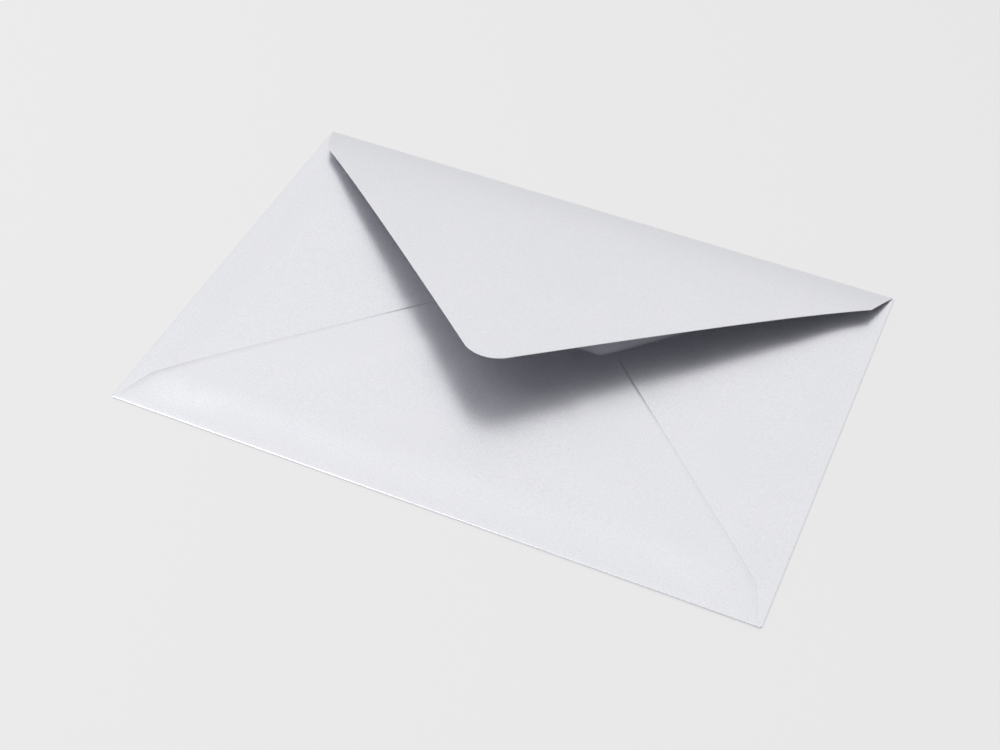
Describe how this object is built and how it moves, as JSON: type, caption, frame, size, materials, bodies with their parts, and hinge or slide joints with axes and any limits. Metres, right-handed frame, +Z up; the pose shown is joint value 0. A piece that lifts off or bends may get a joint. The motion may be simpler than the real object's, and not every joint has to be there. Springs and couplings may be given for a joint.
{
  "type": "paper envelope",
  "caption": "Small rectangular paper envelope, folded and gummed from one sheet into a shallow pocket, with a deep pointed flap that stands slightly open.",
  "frame": {"origin": "middle of the envelope's body, on the surface that it lies on", "axes": "+X along the top flap's fold, +Y from the bottom fold to the top flap's fold, +Z up out of the back, where the flaps are; the address side faces down"},
  "size_m": [0.162, 0.114, 0.0137],
  "materials": {
    "pearl_paper": "smooth pearl-white coating with a satin sheen outside, plain matt uncoated paper inside"
  },
  "bodies": {
    "root": {"envelope": "pearl_paper"}
  },
  "joints": []
}
